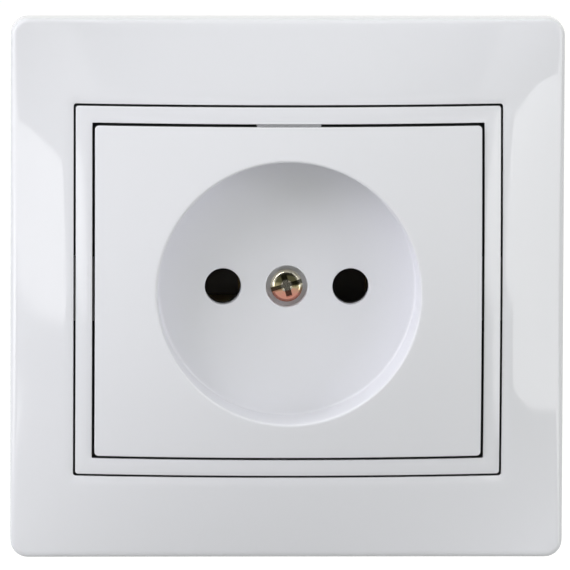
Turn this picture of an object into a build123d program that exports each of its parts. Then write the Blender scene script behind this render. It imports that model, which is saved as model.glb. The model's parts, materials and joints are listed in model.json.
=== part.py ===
from build123d import *
from math import cos, radians, sin, tan
import os

# Flush wall socket for two round pins, with no earth.
# The wall plane is y = 0 and the front faces -Y, so +Y goes into the wall, +X is right and +Z is up.
# The origin is the middle of the wall plane, on the axis of the plug well.
# A height below is measured forward from the wall plane, and a depth is measured back from it.

# Domed face and outer frame
frame_width = 82.2
frame_height = 80.6
frame_corner = 2.6
frame_edge = 4.5
face_rise = 8.7
frame_wall = 2.0
frame_bevel = 0.9
opening_width = 63.64
opening_height = 55.56
opening_corner = 0.4
return_wall = 1.6
ledge_thick = 1.4
ledge_reach = 2.2
frame_rib = 1.2
frame_rib_pitch = 22.0

# Trim ring, seated on the ledge of the frame
trim_gap = 0.31
trim_band = 2.45
trim_flange_thick = 1.2
trim_flange_reach = 1.5
trim_pad_height = 1.2

# Centre cover, seated on the flange of the trim ring
cover_gap = 0.38
cover_corner = 0.6
cover_proud = 0.4
cover_wall = 2.0
cover_skirt = 1.5
cover_rib = 1.2
cover_rib_height = 9.0
cover_rib_reach = 20.5
pad_width = 9.5
pad_play = 0.05
pad_drop = 0.6

# Plug well, pin holes and screw recess in the cover
well_radius = 19.3
well_draft = 1.2
well_rim_bevel = 0.4
well_rim_angle = 45.0
well_floor_thick = 1.8
cup_wall = 1.7
pin_pitch = 19.0
pin_hole = 5.4
screw_recess = 6.2
screw_recess_depth = 2.4
screw_boss_wall = 1.1
screw_shelf = 2.4

# Support plate
plate_margin = 3.6
plate_corner = 5.0
plate_thick = 1.2
plate_clearance = 0.4
box_screw_pitch = 60.0
box_screw_slot = 6.0
box_screw_width = 4.0

# Room for the heads of screws on the plate, under the ledge and the trim ring
relief_width = 9.5
relief_height = 2.6

# Base behind the plate
flange_size = 45.0
flange_corner = 9.0
flange_thick = 3.5
block_width = 40.0
block_height = 33.0
block_corner = 3.0
seat_depth = 18.3
fence_wall = 1.8
fence_depth = 24.0
front_wall = 2.2
chamber_width = 8.6
chamber_height = 9.4
base_fit = 0.3
wire_entry = 9.0
wire_entry_length = 7.2

# Pin contacts and terminals
contact_thick = 0.8
contact_gap = 5.0
contact_spread = 0.5
contact_flare = 0.7
contact_mouth = 3.2
contact_throat = 6.0
clip_width = 7.0
clip_bend = 1.2
tab_width = 7.4
tab_end = 14.4
tab_bend = 0.6
terminal_offset = 10.2
terminal_thread = 3.5
terminal_reach = 6.5
clamp_size = 8.0
clamp_thick = 1.2
clamp_lip = 0.5

# Screws and nut
head_bevel = 0.5
pan_bevel = 0.9
nut_bevel = 0.3
cover_thread = 3.0
cover_screw_head = 4.8
cover_screw_head_height = 1.9
cover_screw_length = 13.0
cover_screw_turn = 16.0
nut_size = 5.5
nut_thick = 2.4
nut_depth = 5.5
nut_fit = 0.1
thread_fit = 0.05
screw_hole_fit = 0.2
cap_thread = 2.5
cap_screw_offset = 8.6
cap_screw_reach = 6.0
terminal_head = 6.4
cap_screw_head = 4.6
claw_screw_head = 5.5
small_head_height = 2.0
slot_width = 0.9
slot_depth = 0.9
cross_length = 3.2
cross_depth = 1.5
cross_taper = 18.0

# Cap over the contacts
cap_thick = 2.2
cap_width = 28.0
cap_bar = 11.0
cap_spine = 8.6
cap_spine_height = 23.0

# Rivets between the plate and the base
rivet_shank = 3.0
rivet_head = 4.6
rivet_head_height = 0.9
rivet_x = 15.0
rivet_z = 19.3

# Spreader claws, each a bent channel on a pin
claw_swing = 22.0
claw_pivot_depth = 4.0
claw_pivot_offset = 19.5
claw_lever = 6.5
claw_sheet = 1.2
claw_width = 9.6
claw_knuckle = 2.2
claw_leg = 20.0
claw_leg_tip = 1.5
claw_flange_end = 9.0
claw_eye = 4.2
claw_tooth = 2.0
claw_pin = 2.0
claw_pin_fit = 0.06
claw_notch = 12.0
claw_screw_thread = 3.0
claw_screw_length = 22.0
claw_screw_hole = 3.6
lug_thick = 3.5
lug_depth = 8.0


def dome_height(x, z):
    """Height of the domed face at a place on the front."""
    return frame_edge + face_rise * (1 - (2 * x / frame_width) ** 2) * (1 - (2 * z / frame_height) ** 2)


# Sizes that follow from those above
beyond = frame_edge + 2 * face_rise + cover_proud
plate_width = frame_width - 2 * frame_wall - 2 * plate_margin
plate_height = frame_height - 2 * frame_wall - 2 * plate_margin
ledge_top = plate_thick + ledge_thick
trim_width = opening_width - 2 * trim_gap
trim_height = opening_height - 2 * trim_gap
trim_inner_width = trim_width - 2 * trim_band
trim_inner_height = trim_height - 2 * trim_band
flange_top = ledge_top + trim_flange_thick
cover_width = trim_inner_width - 2 * cover_gap
cover_height = trim_inner_height - 2 * cover_gap
relief_top = plate_thick + relief_height
trim_pad = trim_gap - pad_play
cover_pad = cover_gap - pad_play
cup_radius = well_radius + cup_wall
rim_height = dome_height(well_radius, 0) + cover_proud
rim_radius = well_radius + (rim_height - well_floor_thick) * tan(radians(well_draft))
plate_bore = cup_radius + plate_clearance
boss_radius = screw_recess / 2 + screw_boss_wall
shelf_depth = screw_recess_depth - well_floor_thick
boss_depth = shelf_depth + screw_shelf
pin_x = pin_pitch / 2
contact_back = seat_depth + contact_thick
cap_back = contact_back + cap_thick
clamp_back = contact_back + clamp_thick
tab_middle = seat_depth + contact_thick / 2
leaf = (contact_gap + contact_thick) / 2
strip = (clip_width + contact_thick) / 2
claw_screw_z = claw_pivot_offset + claw_lever
lug_reach = claw_notch / 2 + lug_thick


def front_plane(turn=1):
    """The wall plane, drawn on from the front. Turn -1 is half a turn about the well's axis."""
    return Plane(origin=(0, 0, 0), x_dir=(turn, 0, 0), z_dir=(0, -1, 0))


def at_height(height, turn=1):
    """A plane in front of the wall plane."""
    return front_plane(turn).offset(height)


def at_depth(depth, turn=1):
    """A plane behind the wall plane."""
    return front_plane(turn).offset(-depth)


def side_plane(turn):
    """The level plane through the well's axis, with local x outwards and local y into the wall."""
    return Plane(origin=(0, 0, 0), x_dir=(turn, 0, 0), z_dir=(0, 0, turn))


def clip_plane(turn):
    """The upright plane through a pin hole's axis, with local x outwards and local y into the wall."""
    return Plane(origin=(turn * pin_x, 0, 0), x_dir=(0, 0, turn), z_dir=(-turn, 0, 0))


def pivot_plane(turn, swing=0):
    """The plane of a claw's swing at its pivot, with local x outwards and local y into the wall."""
    pivot = (0, claw_pivot_depth, turn * claw_pivot_offset)
    return Plane(origin=pivot, x_dir=(0, 0, turn), z_dir=(-turn, 0, 0)).rotated((-turn * swing, 0, 0))


def web_plane(turn, swing):
    """The middle plane of a claw's web, about the eye for its screw."""
    side = pivot_plane(turn, swing)
    return Plane(origin=side.origin + side.x_dir * claw_lever, x_dir=side.z_dir, z_dir=side.y_dir)


def under_dome(lift):
    """The space behind the domed face, raised by lift.

    The face is one patch of three by three control points. Its rim is flat, all round the outline of
    the frame, and the middle point stands four times the rise above it, so that the patch rises from
    rim to middle as the product of two parabolas.
    """
    half_width = frame_width / 2
    half_height = frame_height / 2
    rim = frame_edge + lift
    peak = rim + 4 * face_rise
    points = []
    for x in (-half_width, 0, half_width):
        row = [(x, -rim, z) for z in (-half_height, 0, half_height)]
        if x == 0:
            row[1] = (x, -peak, 0)
        points.append(row)
    return Solid.extrude(Face.make_bezier_surface(points), Vector(0, beyond, 0))


def dome_face(part):
    """The domed face of a part, its largest curved patch."""
    return part.faces().filter_by(GeomType.BEZIER).sort_by(SortBy.AREA)[-1]


def keep(part, label):
    """Names a finished piece and writes it to its own file."""
    part.label = label
    export_step(part, f"parts/{label}.step")


os.makedirs("parts", exist_ok=True)

# Outer frame: a hollow shell with a return wall and a ledge round the opening
with BuildPart() as frame_hollow:
    with BuildSketch(at_height(0)):
        RectangleRounded(frame_width - 2 * frame_wall, frame_height - 2 * frame_wall, frame_corner / 2)
        Rectangle(opening_width + 2 * return_wall, opening_height + 2 * return_wall, mode=Mode.SUBTRACT)
    extrude(amount=beyond)
    add(under_dome(-frame_wall), mode=Mode.INTERSECT)
    with BuildSketch(at_height(plate_thick + ledge_thick)):
        with GridLocations(frame_rib_pitch, 0, 3, 1):
            Rectangle(frame_rib, frame_height)
        with GridLocations(0, frame_rib_pitch, 1, 3):
            Rectangle(frame_width, frame_rib)
        with GridLocations(0, (frame_height + opening_height) / 2, 1, 2):
            Rectangle(frame_width, frame_rib)
    extrude(amount=beyond, mode=Mode.SUBTRACT)

with BuildPart() as outer_frame:
    with BuildSketch(at_height(0)):
        RectangleRounded(frame_width, frame_height, frame_corner)
    extrude(amount=beyond)
    add(under_dome(0), mode=Mode.INTERSECT)
    chamfer(dome_face(outer_frame).edges(), frame_bevel)
    add(frame_hollow.part, mode=Mode.SUBTRACT)
    with BuildSketch(at_height(0)):
        Rectangle(opening_width + 2 * return_wall, opening_height + 2 * return_wall)
    extrude(amount=plate_thick, mode=Mode.SUBTRACT)
    with BuildSketch(at_height(0)):
        Rectangle(opening_width - 2 * ledge_reach, opening_height - 2 * ledge_reach)
    extrude(amount=beyond, mode=Mode.SUBTRACT)
    with BuildSketch(at_height(ledge_top)):
        RectangleRounded(opening_width, opening_height, opening_corner)
    extrude(amount=beyond, mode=Mode.SUBTRACT)
    with BuildSketch(at_height(plate_thick)):
        Rectangle(opening_width + 2 * return_wall, relief_width)
        Rectangle(relief_width, opening_height + 2 * return_wall)
    extrude(amount=relief_height, mode=Mode.SUBTRACT)
keep(outer_frame.part, "outer_frame")

# Trim ring: a band flush with the frame, a flange behind the edge of the cover, and pads that centre it
with BuildPart() as trim_ring:
    with BuildSketch(at_height(ledge_top)):
        RectangleRounded(trim_width, trim_height, opening_corner)
        Rectangle(trim_inner_width, trim_inner_height, mode=Mode.SUBTRACT)
    extrude(amount=beyond)
    add(under_dome(0), mode=Mode.INTERSECT)
    with BuildSketch(at_height(ledge_top)):
        Rectangle(trim_inner_width, trim_inner_height)
        Rectangle(
            trim_inner_width - 2 * trim_flange_reach,
            trim_inner_height - 2 * trim_flange_reach,
            mode=Mode.SUBTRACT,
        )
    extrude(amount=trim_flange_thick)
    with BuildSketch(at_height(ledge_top)):
        Rectangle(trim_width, relief_width)
        Rectangle(relief_width, trim_height)
    extrude(amount=relief_top - ledge_top, mode=Mode.SUBTRACT)
    with BuildSketch(at_height(relief_top)):
        Rectangle(trim_width + 2 * trim_pad, relief_width)
        Rectangle(relief_width, trim_height + 2 * trim_pad)
        Rectangle(trim_width - trim_band, trim_height - trim_band, mode=Mode.SUBTRACT)
    extrude(amount=trim_pad_height)
keep(trim_ring.part, "trim_ring")

# Centre cover: a domed plate on a skirt, with the plug well in one piece with it
with BuildPart() as cover_hollow:
    with BuildSketch(at_height(0)):
        Rectangle(cover_width - 2 * cover_skirt, cover_height - 2 * cover_skirt)
        Circle(cup_radius, mode=Mode.SUBTRACT)
    extrude(amount=beyond)
    add(under_dome(cover_proud - cover_wall), mode=Mode.INTERSECT)
    with BuildSketch(at_height(flange_top)):
        with GridLocations(0, 2 * cover_rib_height, 1, 2):
            Rectangle(cover_width, cover_rib)
        with GridLocations(2 * cover_rib_reach, 0, 2, 1):
            Rectangle(cover_rib, cover_height)
    extrude(amount=beyond, mode=Mode.SUBTRACT)

with BuildPart() as cover_pads:
    with BuildSketch(at_height(flange_top)):
        Rectangle(cover_width + 2 * cover_pad, pad_width)
        Rectangle(pad_width, cover_height + 2 * cover_pad)
        Rectangle(cover_width - cover_skirt, cover_height - cover_skirt, mode=Mode.SUBTRACT)
    extrude(amount=beyond)
    add(under_dome(-pad_drop), mode=Mode.INTERSECT)

with BuildPart() as socket_cover:
    with BuildSketch(at_height(flange_top)):
        RectangleRounded(cover_width, cover_height, cover_corner)
    extrude(amount=beyond)
    with BuildSketch(at_height(0)):
        Circle(cup_radius)
    extrude(amount=beyond)
    add(under_dome(cover_proud), mode=Mode.INTERSECT)
    add(cover_hollow.part, mode=Mode.SUBTRACT)
    with BuildSketch(at_height(well_floor_thick)):
        Circle(well_radius)
    extrude(amount=beyond, taper=-well_draft, mode=Mode.SUBTRACT)
    with BuildSketch(at_height(rim_height - well_rim_bevel)):
        Circle(rim_radius)
    extrude(amount=beyond, taper=-well_rim_angle, mode=Mode.SUBTRACT)
    add(cover_pads.part)
    with BuildSketch(at_depth(boss_depth)):
        Circle(boss_radius)
    extrude(amount=boss_depth)
    with BuildSketch(at_height(well_floor_thick)):
        Circle(screw_recess / 2)
    extrude(amount=-screw_recess_depth, mode=Mode.SUBTRACT)
    with BuildSketch(at_depth(boss_depth)):
        Circle(cover_thread / 2 + screw_hole_fit)
    extrude(amount=boss_depth, mode=Mode.SUBTRACT)
    with BuildSketch(at_height(0)):
        with GridLocations(pin_pitch, 0, 2, 1):
            Circle(pin_hole / 2)
    extrude(amount=well_floor_thick, mode=Mode.SUBTRACT)
keep(socket_cover.part, "socket_cover")

# Support plate: stamped sheet with slots for the box screws
with BuildPart() as support_plate:
    with BuildSketch(at_height(0)):
        RectangleRounded(plate_width, plate_height, plate_corner)
        Circle(plate_bore, mode=Mode.SUBTRACT)
        with GridLocations(box_screw_pitch, 0, 2, 1):
            SlotOverall(box_screw_slot, box_screw_width, mode=Mode.SUBTRACT)
        with GridLocations(0, 2 * claw_screw_z, 1, 2):
            Circle(claw_screw_hole / 2, mode=Mode.SUBTRACT)
        with GridLocations(2 * rivet_x, 2 * rivet_z, 2, 2):
            Circle(rivet_shank / 2 + thread_fit, mode=Mode.SUBTRACT)
    extrude(amount=plate_thick)
keep(support_plate.part, "support_plate")

# Base: flange, block with two contact chambers, fence round the terminals, lugs for the claws
with BuildPart() as base:
    with BuildSketch(at_depth(0)):
        RectangleRounded(flange_size, flange_size, flange_corner)
    extrude(amount=-flange_thick)
    with BuildSketch(at_depth(0)):
        Rectangle(2 * lug_reach, flange_size)
    extrude(amount=-lug_depth)
    with BuildSketch(at_depth(0)):
        RectangleRounded(block_width, block_height, block_corner)
    extrude(amount=-seat_depth)
    with BuildSketch(at_depth(seat_depth)):
        RectangleRounded(block_width, block_height, block_corner)
        Rectangle(block_width - 2 * fence_wall, block_height - 2 * fence_wall, mode=Mode.SUBTRACT)
    extrude(amount=seat_depth - fence_depth)
    with BuildSketch(at_depth(seat_depth)):
        Rectangle(cap_spine, cap_spine_height)
    extrude(amount=-contact_thick)
    with BuildSketch(at_depth(0)):
        with GridLocations(0, block_height + claw_notch, 1, 2):
            Rectangle(claw_notch, claw_notch)
    extrude(amount=-lug_depth, mode=Mode.SUBTRACT)
    for turn in (-1, 1):
        with BuildSketch(pivot_plane(turn)):
            Circle(claw_pin / 2)
        extrude(amount=lug_reach, both=True, mode=Mode.SUBTRACT)
        with BuildSketch(at_depth(seat_depth, turn)):
            with Locations((pin_x, 0)):
                Rectangle(chamber_width, chamber_height)
        extrude(amount=seat_depth - front_wall, mode=Mode.SUBTRACT)
        with BuildSketch(at_depth(seat_depth, turn)):
            with Locations((pin_x, terminal_offset)):
                Circle(terminal_thread / 2 + screw_hole_fit)
        extrude(amount=terminal_reach, mode=Mode.SUBTRACT)
        with BuildSketch(at_depth(seat_depth, turn)):
            with Locations((block_width / 2, terminal_offset)):
                Rectangle(wire_entry_length, wire_entry)
        extrude(amount=seat_depth - fence_depth, mode=Mode.SUBTRACT)
    with BuildSketch(at_depth(0)):
        with GridLocations(pin_pitch, 0, 2, 1):
            Circle(pin_hole / 2)
    extrude(amount=-front_wall, mode=Mode.SUBTRACT)
    with BuildSketch(at_depth(0)):
        Circle(boss_radius + base_fit)
    extrude(amount=-boss_depth, mode=Mode.SUBTRACT)
    with BuildSketch(at_depth(0)):
        Circle(cover_thread / 2 + screw_hole_fit)
    extrude(amount=-nut_depth, mode=Mode.SUBTRACT)
    with BuildSketch(at_depth(nut_depth)):
        Rectangle(nut_size + 2 * nut_fit, nut_size + 2 * nut_fit)
    extrude(amount=nut_depth - contact_back, mode=Mode.SUBTRACT)
    with BuildSketch(at_depth(contact_back)):
        with GridLocations(0, 2 * cap_screw_offset, 1, 2):
            Circle(cap_thread / 2 + thread_fit)
    extrude(amount=cap_screw_reach, mode=Mode.SUBTRACT)
    with BuildSketch(at_depth(0)):
        with GridLocations(2 * rivet_x, 2 * rivet_z, 2, 2):
            Circle(rivet_shank / 2 + thread_fit)
    extrude(amount=-flange_thick, mode=Mode.SUBTRACT)
keep(base.part, "base")

# Cap over the contacts, with a hollow post that keeps the nut in its pocket
with BuildPart() as contact_cap:
    with BuildSketch(at_depth(contact_back)):
        Rectangle(cap_width, cap_bar)
        Rectangle(cap_spine, cap_spine_height)
    extrude(amount=-cap_thick)
    with BuildSketch(at_depth(contact_back)):
        Rectangle(nut_size, nut_size)
    extrude(amount=contact_back - nut_depth - nut_thick)
    with BuildSketch(at_depth(contact_back)):
        Circle(cover_thread / 2 + screw_hole_fit)
    extrude(amount=contact_back - nut_depth - nut_thick, mode=Mode.SUBTRACT)
    with BuildSketch(at_depth(cap_back)):
        with GridLocations(0, 2 * cap_screw_offset, 1, 2):
            Circle(cap_thread / 2 + screw_hole_fit)
    extrude(amount=cap_thick, mode=Mode.SUBTRACT)
keep(contact_cap.part, "contact_cap")

# Square nut for the cover screw
with BuildPart() as cover_nut:
    with BuildSketch(at_depth(nut_depth)):
        Rectangle(nut_size, nut_size)
        Circle(cover_thread / 2 + thread_fit, mode=Mode.SUBTRACT)
    extrude(amount=-nut_thick)
    chamfer(cover_nut.faces().sort_by(Axis.Y)[-1].outer_wire().edges(), nut_bevel)
keep(cover_nut.part, "cover_nut")

# Contacts: two sprung leaves on a strip that is bent over the seat as the terminal tab, alike on both sides
for turn, side in ((-1, "left"), (1, "right")):
    with BuildPart() as contact:
        for facing in (-1, 1):
            with BuildSketch(side_plane(turn)):
                with BuildLine():
                    FilletPolyline(
                        (pin_x + facing * (leaf + contact_flare), contact_mouth),
                        (pin_x + facing * leaf, contact_throat),
                        (pin_x + facing * (leaf + contact_spread), seat_depth),
                        radius=clip_bend,
                    )
                trace(line_width=contact_thick)
            extrude(amount=clip_width / 2, both=True)
        with BuildSketch(clip_plane(turn)):
            with BuildLine():
                FilletPolyline(
                    (strip, contact_throat),
                    (strip, tab_middle),
                    (tab_end, tab_middle),
                    radius=tab_bend,
                )
            trace(line_width=contact_thick)
        extrude(amount=tab_width / 2, both=True)
        with BuildSketch(at_depth(seat_depth, turn)):
            with Locations((pin_x, terminal_offset)):
                Circle(terminal_thread / 2 + thread_fit)
        extrude(amount=-contact_thick, mode=Mode.SUBTRACT)
    keep(contact.part, f"contact_{side}")

    with BuildPart() as terminal_clamp:
        with BuildSketch(at_depth(contact_back, turn)):
            with Locations((pin_x, terminal_offset)):
                Rectangle(clamp_size, clamp_size)
                Circle(terminal_thread / 2 + screw_hole_fit, mode=Mode.SUBTRACT)
        extrude(amount=-clamp_thick)
        chamfer(terminal_clamp.edges().filter_by(Axis.Z).group_by(Axis.Y)[0], clamp_lip)
    keep(terminal_clamp.part, f"terminal_clamp_{side}")

    with BuildPart() as terminal_screw:
        with BuildSketch(at_depth(clamp_back, turn)):
            with Locations((pin_x, terminal_offset)):
                Circle(terminal_head / 2)
        extrude(amount=-small_head_height)
        chamfer(terminal_screw.edges().sort_by(Axis.Y)[-1], head_bevel)
        with BuildSketch(at_depth(clamp_back, turn)):
            with Locations((pin_x, terminal_offset)):
                Circle(terminal_thread / 2)
        extrude(amount=terminal_reach)
        with BuildSketch(at_depth(clamp_back + small_head_height, turn)):
            with Locations((pin_x, terminal_offset)):
                Rectangle(terminal_head, slot_width)
        extrude(amount=slot_depth, mode=Mode.SUBTRACT)
    keep(terminal_screw.part, f"terminal_screw_{side}")

# Cover screw: pan head with a crossed slot, turned a little in its recess
with BuildPart() as cover_screw:
    with BuildSketch(at_depth(shelf_depth)):
        Circle(cover_screw_head / 2)
    extrude(amount=cover_screw_head_height)
    chamfer(cover_screw.edges().sort_by(Axis.Y)[0], pan_bevel)
    with BuildSketch(at_depth(shelf_depth)):
        Circle(cover_thread / 2)
    extrude(amount=-cover_screw_length)
    with BuildSketch(at_height(cover_screw_head_height - shelf_depth)):
        Rectangle(cover_screw_head, slot_width, rotation=cover_screw_turn)
        Rectangle(slot_width, cross_length, rotation=cover_screw_turn)
    extrude(amount=-slot_depth, mode=Mode.SUBTRACT)
    with BuildSketch(at_height(cover_screw_head_height - shelf_depth)):
        Circle(slot_width)
    extrude(amount=-cross_depth, taper=cross_taper, mode=Mode.SUBTRACT)
keep(cover_screw.part, "cover_screw")

# Cap screws, rivets, claws, claw pins and claw screws
for turn, end in ((1, "upper"), (-1, "lower")):
    with BuildPart() as cap_screw:
        with BuildSketch(at_depth(cap_back, turn)):
            with Locations((0, cap_screw_offset)):
                Circle(cap_screw_head / 2)
        extrude(amount=-small_head_height)
        chamfer(cap_screw.edges().sort_by(Axis.Y)[-1], head_bevel)
        with BuildSketch(at_depth(cap_back, turn)):
            with Locations((0, cap_screw_offset)):
                Circle(cap_thread / 2)
        extrude(amount=cap_screw_reach)
        with BuildSketch(at_depth(cap_back + small_head_height, turn)):
            with Locations((0, cap_screw_offset)):
                Rectangle(cap_screw_head, slot_width)
                Rectangle(slot_width, cap_screw_head)
        extrude(amount=slot_depth, mode=Mode.SUBTRACT)
    keep(cap_screw.part, f"cap_screw_{end}")

    for side, x in (("left", -rivet_x * turn), ("right", rivet_x * turn)):
        with BuildPart() as rivet:
            with BuildSketch(at_height(plate_thick, turn)):
                with Locations((x, rivet_z)):
                    Circle(rivet_head / 2)
            extrude(amount=rivet_head_height)
            chamfer(rivet.edges().sort_by(Axis.Y)[0], head_bevel)
            with BuildSketch(at_height(plate_thick, turn)):
                with Locations((x, rivet_z)):
                    Circle(rivet_shank / 2)
            extrude(amount=-plate_thick - flange_thick)
            with BuildSketch(at_depth(flange_thick, turn)):
                with Locations((x, rivet_z)):
                    Circle(rivet_head / 2)
            extrude(amount=-rivet_head_height)
        keep(rivet.part, f"rivet_{end}_{side}")

    with BuildPart() as claw:
        tilt = claw_swing / 2
        lean = radians(tilt)
        tip_x = claw_leg * sin(lean)
        tip_y = claw_leg * cos(lean)
        with BuildSketch(pivot_plane(turn, tilt)):
            with BuildLine():
                Polyline(
                    (-claw_knuckle, 0),
                    (0, -claw_sheet / 2),
                    (claw_flange_end, -claw_sheet / 2),
                    (claw_flange_end, claw_sheet),
                    (claw_knuckle + claw_sheet, claw_sheet + claw_knuckle),
                    (tip_x + claw_leg_tip, tip_y - 2 * claw_tooth),
                    (tip_x + claw_leg_tip + claw_tooth, tip_y - claw_tooth),
                    (tip_x + claw_leg_tip, tip_y - claw_tooth),
                    (tip_x + claw_leg_tip + claw_tooth, tip_y),
                    (tip_x - claw_leg_tip, tip_y),
                    close=True,
                )
            make_face()
            Circle(claw_knuckle)
        extrude(amount=claw_width / 2, both=True)
        with BuildSketch(pivot_plane(turn, tilt)):
            with Locations((claw_leg / 2, claw_leg / 2 + claw_sheet / 2)):
                Rectangle(2 * claw_leg, claw_leg)
            with Locations((-claw_leg / 2 + claw_knuckle, 0)):
                Rectangle(claw_leg, 2 * claw_leg)
        extrude(amount=claw_width / 2 - claw_sheet, both=True, mode=Mode.SUBTRACT)
        with BuildSketch(pivot_plane(turn, tilt)):
            Circle(claw_pin / 2 + claw_pin_fit)
        extrude(amount=claw_width, both=True, mode=Mode.SUBTRACT)
        with BuildSketch(web_plane(turn, tilt)):
            Circle(claw_eye / 2)
        extrude(amount=claw_sheet, both=True, mode=Mode.SUBTRACT)
    keep(claw.part, f"claw_{end}")

    with BuildPart() as claw_pin_part:
        with BuildSketch(pivot_plane(turn)):
            Circle(claw_pin / 2)
        extrude(amount=lug_reach, both=True)
    keep(claw_pin_part.part, f"claw_pin_{end}")

    with BuildPart() as claw_screw:
        with BuildSketch(at_height(plate_thick, turn)):
            with Locations((0, claw_screw_z)):
                Circle(claw_screw_head / 2)
        extrude(amount=small_head_height)
        chamfer(claw_screw.edges().sort_by(Axis.Y)[0], head_bevel)
        with BuildSketch(at_height(plate_thick, turn)):
            with Locations((0, claw_screw_z)):
                Circle(claw_screw_thread / 2)
        extrude(amount=-claw_screw_length)
        with BuildSketch(at_height(plate_thick + small_head_height, turn)):
            with Locations((0, claw_screw_z)):
                Rectangle(claw_screw_head, slot_width)
        extrude(amount=-slot_depth, mode=Mode.SUBTRACT)
    keep(claw_screw.part, f"claw_screw_{end}")
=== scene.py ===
"""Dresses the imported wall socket: a white moulded front, yellow zinc screws and the plain works behind it.

The wall plane is y = 0, the front faces -Y and +Z is up, all in metres. A height is measured forward from
the wall plane. The moulded pieces are surfaces whose rows are outlines at some height, carried from row
to row.
"""

import json
from math import cos, pi, radians, sin, tan

import bmesh
import bpy
import numpy as np
from bpy.props import FloatProperty, FloatVectorProperty, PointerProperty
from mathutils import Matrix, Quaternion, Vector


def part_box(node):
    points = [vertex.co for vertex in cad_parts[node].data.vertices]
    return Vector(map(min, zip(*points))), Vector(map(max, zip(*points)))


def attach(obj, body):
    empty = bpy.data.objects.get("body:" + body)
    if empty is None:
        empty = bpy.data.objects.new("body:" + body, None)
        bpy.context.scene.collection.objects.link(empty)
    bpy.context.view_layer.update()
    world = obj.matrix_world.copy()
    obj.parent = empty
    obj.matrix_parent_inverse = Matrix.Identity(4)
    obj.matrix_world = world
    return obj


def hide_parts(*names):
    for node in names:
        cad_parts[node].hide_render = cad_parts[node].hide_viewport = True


bl_info = {
    "name": "Flush Wall Socket",
    "version": (1, 0, 0),
    "blender": (4, 5, 0),
    "location": "3D View > Sidebar > Socket",
    "description": "Builds the mouldings, screws, finishes and stage of a wall socket on its packed frame",
    "category": "Add Mesh",
}

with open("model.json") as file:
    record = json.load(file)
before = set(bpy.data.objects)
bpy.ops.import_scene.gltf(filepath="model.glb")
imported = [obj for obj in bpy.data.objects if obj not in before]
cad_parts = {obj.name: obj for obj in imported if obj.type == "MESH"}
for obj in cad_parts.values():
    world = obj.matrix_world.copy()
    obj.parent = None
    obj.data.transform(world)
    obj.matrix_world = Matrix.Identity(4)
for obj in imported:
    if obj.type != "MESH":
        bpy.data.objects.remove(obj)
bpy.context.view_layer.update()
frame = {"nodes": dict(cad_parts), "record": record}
RECORD = frame["record"]
SLOT_COLOURS = {entry["slot"]: entry["base_color"] for entry in RECORD["materials"]}
SLOT_OF = {entry["node"]: entry["material_slot"] for entry in RECORD["subparts"]}
BODY_OF = {node: body for body, nodes in RECORD["behaviour"]["bodies"].items() for node in nodes}

# How finely the surfaces are divided
SIDE_STATIONS = 34
RUN_STATIONS = 6
ARC_STATIONS = 8
FACE_ROWS = 30
ROUND_ROWS = 7
EASE_ROWS = 12
CROWN_ROWS = 14
THREAD_ROWS = 8
SCREW_SIDES = 48
BEARINGS = np.linspace(0, 2 * pi, SCREW_SIDES, endpoint=False)
SMOOTH_ANGLE = radians(32)
FLAT_ANGLE = radians(1)
WELD = 1e-6
SLIVER = WELD / 10


def length(name, default, description):
    """A size in metres that a user may change."""
    return FloatProperty(
        name=name,
        description=description,
        default=default,
        min=0.0,
        precision=5,
        subtype="DISTANCE",
        unit="LENGTH",
    )


def angle(name, default, description):
    """An angle that a user may change."""
    return FloatProperty(
        name=name, description=description, default=default, subtype="ANGLE", unit="ROTATION"
    )


def level(name, default, description):
    """A plain amount that a user may change."""
    return FloatProperty(name=name, description=description, default=default, min=0.0)


def colour(name, slot, description):
    """A colour that a user may change, at first the one in the record."""
    return FloatVectorProperty(
        name=name,
        description=description,
        default=SLOT_COLOURS[slot],
        size=3,
        min=0.0,
        max=1.0,
        subtype="COLOR",
    )


class FaceSizes(bpy.types.PropertyGroup):
    """Sizes of the domed face and of the three mouldings that share it."""

    edge_height: length("Edge height", 0.0045, "Height of the dome at the rim of the frame")
    face_rise: length("Face rise", 0.0087, "Rise of the dome from its rim to its middle")
    frame_corner: length("Frame corner", 0.0026, "Radius of the frame's four corners")
    frame_wall: length("Frame wall", 0.002, "Thickness of the frame's shell")
    frame_round: length("Frame round", 0.0009, "Size of the round along the frame's outer edge")
    lip_round: length("Lip round", 0.00014, "Size of the round along the edges of the gaps")
    opening_width: length("Opening width", 0.06364, "Width of the frame's opening")
    opening_height: length("Opening height", 0.05556, "Height of the frame's opening")
    opening_corner: length("Opening corner", 0.0004, "Radius of the corners of the opening and the trim ring")
    ease_width: length("Ease width", 0.0017, "Width of the strip along the opening where the face flattens")
    ease_drop: length("Ease drop", 0.00018, "How far the face falls below the dome at the opening")
    trim_gap: length("Trim gap", 0.00031, "Gap between the frame and the trim ring")
    trim_band: length("Trim band", 0.00245, "Width of the trim ring's face")
    trim_crown: length("Trim crown", 0.00007, "How far the trim ring's face bulges across its width")
    cover_gap: length("Cover gap", 0.00038, "Gap between the trim ring and the cover")
    cover_corner: length("Cover corner", 0.0006, "Radius of the cover's four corners")
    cover_proud: length("Cover proud", 0.0004, "How far the cover stands out from the dome of the frame")


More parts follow.
